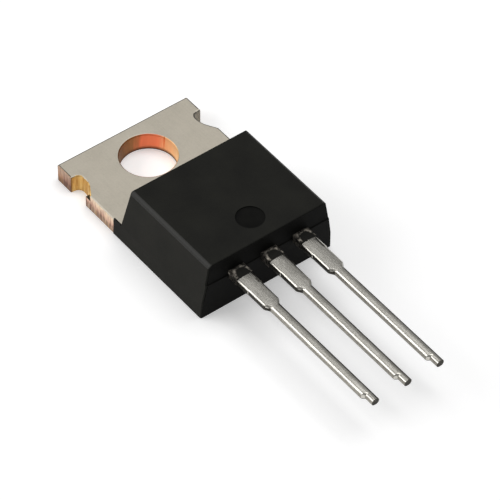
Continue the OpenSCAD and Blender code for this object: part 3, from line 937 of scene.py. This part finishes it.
LAND_X = BODY_X - TAB_T * LAND_DRAFT
PARTING_X = LAND_X - (PARTING_Z - TAB_T) * SIDE_DRAFT
TOP_X = LAND_X - (BODY_H - TAB_T) * SIDE_DRAFT
PARTING_TAB_Y = BODY_TAB_Y - (PARTING_Z - TAB_T) * TAB_END_DRAFT
TOP_TAB_Y = BODY_TAB_Y - (BODY_H - TAB_T) * TAB_END_DRAFT
BASE_LEAD_Y = BODY_LEAD_Y + PARTING_Z * LEAD_END_DRAFT
LAND_LEAD_Y = BODY_LEAD_Y + (PARTING_Z - TAB_T) * LEAD_END_DRAFT
LEDGE_Y = BODY_LEAD_Y + 0.06
TOP_LEAD_Y = LEDGE_Y + (BODY_H - PARTING_Z) * LEAD_END_TOP_DRAFT

# Widths of the bevels that round its edges.
SIDE_EDGE = 0.27
END_EDGE = 0.1
CORNER_EDGE = 0.13

# The ejector mark.
EJECTOR_R = 0.96
EJECTOR_DEPTH = 0.08
EJECTOR_Y = BODY_LEAD_Y + 1.92

# The lumps of resin on the roots, and the dish in the top of each.
LUMP_X = 0.6
LUMP_Z = 0.05
LUMP_TOP_Z = LEAD_TOP_Z + 0.07
DISH_X = 0.46
DISH_Y = 0.64
DISH_DEPTH = 0.055


def lower_half():
    """The body up to the parting line, with the skirt beside the tab."""
    half = new_box("mould_body_resin", (-BODY_X, BASE_LEAD_Y, 0), (BODY_X, SKIRT_Y, TAB_T))
    pick_faces(lambda normal, middle: normal.z > 0.99)
    widen(LAND_X / BODY_X)
    pick_edges(lambda a, b, normals: along(a, b, y=BASE_LEAD_Y, z=TAB_T))
    move(y=LAND_LEAD_Y - BASE_LEAD_Y)
    bpy.ops.mesh.select_all(action="SELECT")
    bpy.ops.mesh.bisect(plane_co=(0, BODY_TAB_Y, 0), plane_no=(0, 1, 0), threshold=1e-5)
    pick_faces(lambda normal, middle: normal.z > 0.99 and middle.y < BODY_TAB_Y)
    extrude(z=PARTING_Z - TAB_T)
    widen(PARTING_X / LAND_X)
    pick_edges(lambda a, b, normals: along(a, b, y=BODY_TAB_Y, z=PARTING_Z))
    move(y=PARTING_TAB_Y - BODY_TAB_Y)
    pick_edges(lambda a, b, normals: along(a, b, y=LAND_LEAD_Y, z=PARTING_Z))
    move(y=BODY_LEAD_Y - LAND_LEAD_Y)

    def is_lead_corner(a, b, normals):
        """The upright corners at the lead end."""
        return upright(a, b) and max(a.y, b.y) < BASE_LEAD_Y + 0.01

    def is_tab_corner(a, b, normals):
        """The corners that rise at the tab end, above the skirt."""
        on_tab_end = min(a.y, b.y) > PARTING_TAB_Y - 0.01 and max(a.y, b.y) < BODY_TAB_Y + 0.01
        return upright(a, b) and on_tab_end and max(a.z, b.z) > TAB_T + 0.1
    weigh(is_lead_corner, CORNER_EDGE, SIDE_EDGE)
    weigh(is_tab_corner, END_EDGE, SIDE_EDGE)
    bevel_marked(half, SIDE_EDGE, 6)
    return half


def upper_half():
    """The body above the parting line, with its round edges. Its lead end stands back a little."""
    half = new_box("upper_half", (-PARTING_X, LEDGE_Y, PARTING_Z), (PARTING_X, PARTING_TAB_Y, BODY_H))
    pick_faces(lambda normal, middle: normal.z > 0.99)
    widen(TOP_X / PARTING_X)
    pick_edges(lambda a, b, normals: along(a, b, y=PARTING_TAB_Y, z=BODY_H))
    move(y=TOP_TAB_Y - PARTING_TAB_Y)
    pick_edges(lambda a, b, normals: along(a, b, y=LEDGE_Y, z=BODY_H))
    move(y=TOP_LEAD_Y - LEDGE_Y)
    weigh(lambda a, b, normals: along(a, b, x=TOP_X, z=BODY_H) and near(a.x, b.x), SIDE_EDGE, SIDE_EDGE)
    weigh(lambda a, b, normals: along(a, b, z=BODY_H) and near(a.y, b.y), END_EDGE, SIDE_EDGE)
    weigh(lambda a, b, normals: upright(a, b) and a.y < LEDGE_Y + 0.2, CORNER_EDGE, SIDE_EDGE)
    weigh(lambda a, b, normals: upright(a, b) and a.y > PARTING_TAB_Y - 0.5, END_EDGE, SIDE_EDGE)
    bevel_marked(half, SIDE_EDGE, 6)
    return half


def ejector_pin():
    """The end of the pin that leaves the round mark in the top of the body."""
    foot_z = BODY_H - EJECTOR_DEPTH
    pin = new_cylinder("pin", EJECTOR_R, (0, EJECTOR_Y, foot_z), 1, ROUND_SIDES)
    pick_edges(lambda a, b, normals: near(a.z, foot_z) and near(b.z, foot_z))
    bevel(0.05, 3)
    leave_edit_mode()
    return pin


def root_lump(x):
    """Resin bled over the root of a lead, with a dished top that ends square at the stubs."""
    lump = new_box(
        "lump", (x - LUMP_X, STUB_Y, LEAD_Z - LUMP_Z), (x + LUMP_X, BODY_LEAD_Y + 0.15, LUMP_TOP_Z)
    )
    leave_edit_mode()
    bpy.ops.mesh.primitive_uv_sphere_add(radius=1, segments=48, ring_count=24)
    dish = bpy.context.object
    dish.scale = (DISH_X, DISH_Y, DISH_DEPTH)
    dish.location = (x + 0.04, STUB_Y + 0.05, LUMP_TOP_Z)
    bpy.ops.object.transform_apply(location=True, rotation=False, scale=True)
    combine(lump, dish, "DIFFERENCE")
    return lump


def pocket(cad_node):
    """Room for a piece that is cast in. Under the die and its solder it reaches into the plate's room,
    so that no skin of resin is left between the two."""
    room = copy_of(frame["nodes"][cad_node])
    room.parent = None
    room.scale = (1 / MM, 1 / MM, 1 / MM)
    leave_edit_mode()
    room.select_set(True)
    bpy.context.view_layer.objects.active = room
    bpy.ops.object.transform_apply(location=True, rotation=True, scale=True)
    edit(room)
    bpy.ops.mesh.select_all(action="SELECT")
    bpy.ops.mesh.remove_doubles(threshold=0.0005)
    if cad_node in ("die_attach_solder", "die"):
        pick_faces(lambda normal, middle: normal.z < -0.99)
        move(z=-0.1)
    leave_edit_mode()
    return room


def mould():
    """The whole body: both halves, the lumps on the roots, and room for everything cast in."""
    body = lower_half()
    combine(body, upper_half(), "UNION")
    combine(body, ejector_pin(), "DIFFERENCE")
    for x in (-LEAD_PITCH, 0, LEAD_PITCH):
        combine(body, root_lump(x), "UNION")
    # The tab's back is level with the body's, so the room for it is drawn out through the back.
    frame_room = copy_of(collector_frame)
    edit(frame_room)
    pick_faces(lambda normal, middle: normal.z < -0.99 and near(middle.z, 0))
    extrude(z=-1)
    leave_edit_mode()
    combine(body, frame_room, "DIFFERENCE")
    for lead in (base_lead, emitter_lead):
        combine(body, copy_of(lead), "DIFFERENCE")
    for cast_in in ("die_attach_solder", "die", "base_bond_wire", "emitter_bond_wire"):
        combine(body, pocket(cast_in), "DIFFERENCE")
    return body


mould_body = mould()

# ---------------------------------------------------------------- finishes and places


def is_wall(normal):
    """Whether a face is steeper than a rolled edge's top."""
    return abs(normal.z) < 0.9


def is_lead(normal, middle):
    """The centre lead, outside the body."""
    return middle.y < STUB_Y + 0.01


def is_side(normal, middle):
    """The tab's stamped sides and its free end, below the rolled front."""
    return is_wall(normal) and middle.y > SKIRT_Y + 0.01 and abs(middle.x) > SIDE_X - 0.02


def is_slim(normal, middle):
    """The slim stretch of a lead and its tip."""
    return middle.y < SHOULDER_Y - SHOULDER_L + 0.02


def is_flank(normal, middle):
    """The right flank and edge, the underside and the end of a lead, and its wide part's left flank,
    painted dark as shade and dark reflection.
    """
    on_wide = middle.y > SHOULDER_Y - SHOULDER_L
    edge = 0.6 if on_wide else 0.3
    at_end = middle.y < TIP_Y + 0.01
    turned = normal.x > edge or normal.z < -0.2 or at_end or (on_wide and normal.x < -0.8)
    return middle.y < STUB_Y - 0.01 and turned


def is_slim_flank(normal, middle):
    """The left flank of a lead's slim stretch and tip, painted a darker grey as shade."""
    return is_slim(normal, middle) and normal.x < -0.8


def is_rolled_away(normal, middle):
    """The rolled front edges of the tab on its free end and on its right side, painted dark as shade."""
    on_end = middle.y > TAB_Y - ROLL_R - 0.01 and normal.y > 0.1
    on_right = middle.x > SIDE_X - NOTCH_DEPTH - ROLL_R and normal.x > 0.1
    return middle.z > TAB_T - ROLL_R and (on_end or on_right)


def is_notch(normal, middle):
    """The notch walls, from the ears to the sides, painted dull and dark as shade."""
    inner_x = SIDE_X - NOTCH_DEPTH - 0.02
    on_notch = RAMP_END_Y < middle.y < NOTCH_Y
    return is_wall(normal) and on_notch and inner_x < abs(middle.x) < SIDE_X - 0.01


def is_left_notch(normal, middle):
    """The left notch, which keeps its bright copper over the painted shade."""
    return middle.x < 0 and is_notch(normal, middle)


def is_hole(normal, middle):
    """The wall of the mounting hole and the lower part of its rolled rim."""
    return is_wall(normal) and math.hypot(middle.x, middle.y) < HOLE_R + ROLL_R


def is_nick(normal, middle):
    """The top of the torn lip at the foot of the left notch, painted dark as shade."""
    on_lip = middle.x < 0 and middle.y > NICK_Y - NICK_L - 0.1
    return on_lip and near(middle.z, NICK_TOP) and normal.z > 0.9


def is_mark_or_shaded_end(normal, middle):
    """The ejector mark, and the lead end of the body, which is painted darker as shade."""
    in_mark = math.hypot(middle.x, middle.y - EJECTOR_Y) < EJECTOR_R + 0.01 and middle.z < BODY_H - 0.01
    in_mark = in_mark and middle.z > BODY_H - EJECTOR_DEPTH - 0.01
    return in_mark or (normal.y < -0.9 and BODY_LEAD_Y - 0.01 < middle.y < BASE_LEAD_Y)


def is_body_side(normal, middle):
    """The drafted sides of the body, painted lighter as painted light."""
    return abs(normal.x) > 0.97 and abs(middle.x) > TOP_X


def is_round_edge(normal, middle):
    """The round edges along both sides of the top, painted a little lighter as part of their highlight.
    """
    return 0.25 < abs(normal.x) < 0.97 and 0.2 < normal.z < 0.97 and middle.z > BODY_H - 2 * SIDE_EDGE


def is_rim(normal, middle):
    """The rims and flanks of the resin lumps on the roots, but not their dished tops."""
    on_root = STUB_Y - 0.01 < middle.y < LEDGE_Y
    return on_root and (near(middle.z, LUMP_TOP_Z, 0.01) or abs(normal.x) > 0.9)


paint(
    mould_body, EPOXY, (EPOXY_SIDE_PAINTED_LIGHT, is_body_side), (EPOXY_EDGE_PAINTED_HIGHLIGHT, is_round_edge), (FLASH, is_rim),
    (EPOXY_SMOOTH_AND_SHADE, is_mark_or_shaded_end),
)
lead_coats = (SLIM_TIN, is_slim), (SLIM_FLANK_PAINTED_SHADE, is_slim_flank), (LEAD_FLANK_PAINTED_SHADE, is_flank)
paint(
    collector_frame, TIN, (LEAD_TIN, is_lead), *lead_coats, (SHEARED, is_side), (CUT_PAINTED_SHADE, is_notch),
    (BRIGHT_CUT, is_left_notch), (ROLLED_EDGE_PAINTED_SHADE, is_rolled_away), (HOLE_WALL, is_hole), (TORN_PAINTED_SHADE, is_nick),
)
paint(base_lead, LEAD_TIN, *lead_coats)
paint(emitter_lead, LEAD_TIN, *lead_coats)

finish(mould_body, "mould_body")
finish(collector_frame, "collector_frame")
finish(base_lead, "base_lead")
finish(emitter_lead, "emitter_lead")

# ---------------------------------------------------------------- floor, light and camera


def white_board():
    """A white sheet. It glows a little where it is seen, also by way of metal or glass, so that it is
    white where nothing shades it, and the light that it throws back at the part stays moderate."""
    made = bpy.data.materials.new("white_board")
    made.use_nodes = True
    tree = made.node_tree
    tree.nodes.clear()
    matt = node(tree, "BsdfDiffuse", {"Color": (0.5, 0.5, 0.5, 1)})
    white = node(tree, "BsdfDiffuse", {"Color": (0.9, 0.9, 0.9, 1)})
    glow = node(tree, "Emission", {"Strength": 0.33})
    bright = node(tree, "AddShader", {0: white.outputs[0], 1: glow.outputs[0]})
    ray = node(tree, "LightPath")
    direct = node(
        tree, "Math", {0: ray.outputs["Is Camera Ray"], 1: ray.outputs["Is Glossy Ray"]},
        operation="MAXIMUM",
    )
    shown = node(
        tree, "Math", {0: direct.outputs[0], 1: ray.outputs["Is Transmission Ray"]},
        operation="MAXIMUM",
    )
    seen = node(tree, "MixShader", {0: shown.outputs[0], 1: matt.outputs[0], 2: bright.outputs[0]})
    node(tree, "OutputMaterial", {"Surface": seen.outputs[0]})
    return made


leave_edit_mode()
bpy.ops.mesh.primitive_plane_add(size=3)
floor = bpy.context.object
floor.name = "floor"
floor.data.materials.append(white_board())

world = bpy.data.worlds.new("studio")
bpy.context.scene.world = world
world.use_nodes = True
tree = world.node_tree
tree.nodes.clear()
room = node(tree, "Background", {"Color": (1, 1, 1, 1), "Strength": 0.25})
node(tree, "OutputWorld", {"Surface": room.outputs[0]})


def softbox(name, azimuth, elevation, width, height, radiance):
    """A rectangular lamp that faces the part, of a size in millimetres. Azimuth turns from -Y towards
    +X, in degrees, and radiance is the brightness of its face."""
    turn, tilt = math.radians(azimuth), math.radians(elevation)
    out = Vector((math.sin(turn) * math.cos(tilt), -math.cos(turn) * math.cos(tilt), math.sin(tilt)))
    lamp = bpy.data.lights.new(name, "AREA")
    lamp.shape = "RECTANGLE"
    lamp.size = width * MM
    lamp.size_y = height * MM
    lamp.energy = radiance * math.pi * lamp.size * lamp.size_y
    holder = bpy.data.objects.new(name, lamp)
    bpy.context.scene.collection.objects.link(holder)
    holder.location = (LIT_POINT + LAMP_DISTANCE * out) * MM
    holder.rotation_euler = out.to_track_quat("Z", "Y").to_euler()


LIT_POINT = Vector((0, -10, 0))
LAMP_DISTANCE = 420
softbox("overhead_box", 95, 71, 320, 300, 2.5)
softbox("left_back_box", 230, 32, 330, 220, 2.9)
softbox("back_panel", 180, 75, 300, 200, 0.5)

# The camera: the point it looks at and its distance from it, its angles in radians, and its lens.
AIM = Vector((0.219, -10.513, 1.1))
AZIMUTH = -0.668413
ELEVATION = 0.816390
ROLL = 0.014426
DISTANCE = 217.46
LENS = 247.1

back = Vector((
    math.sin(AZIMUTH) * math.cos(ELEVATION),
    -math.cos(AZIMUTH) * math.cos(ELEVATION),
    math.sin(ELEVATION),
))
level_right = Vector((math.cos(AZIMUTH), math.sin(AZIMUTH), 0))
right = math.cos(ROLL) * level_right + math.sin(ROLL) * back.cross(level_right)
up = back.cross(right)

camera_data = bpy.data.cameras.new("camera")
camera_data.lens = LENS
camera_data.sensor_width = 36
camera_data.clip_start = 0.01
camera_data.clip_end = 10
camera = bpy.data.objects.new("camera", camera_data)
bpy.context.scene.collection.objects.link(camera)
turned = Matrix((right, up, back)).transposed().to_4x4()
camera.matrix_world = Matrix.Translation((AIM + DISTANCE * back) * MM) @ turned
bpy.context.scene.camera = camera
bpy.context.scene.view_settings.view_transform = "Standard"
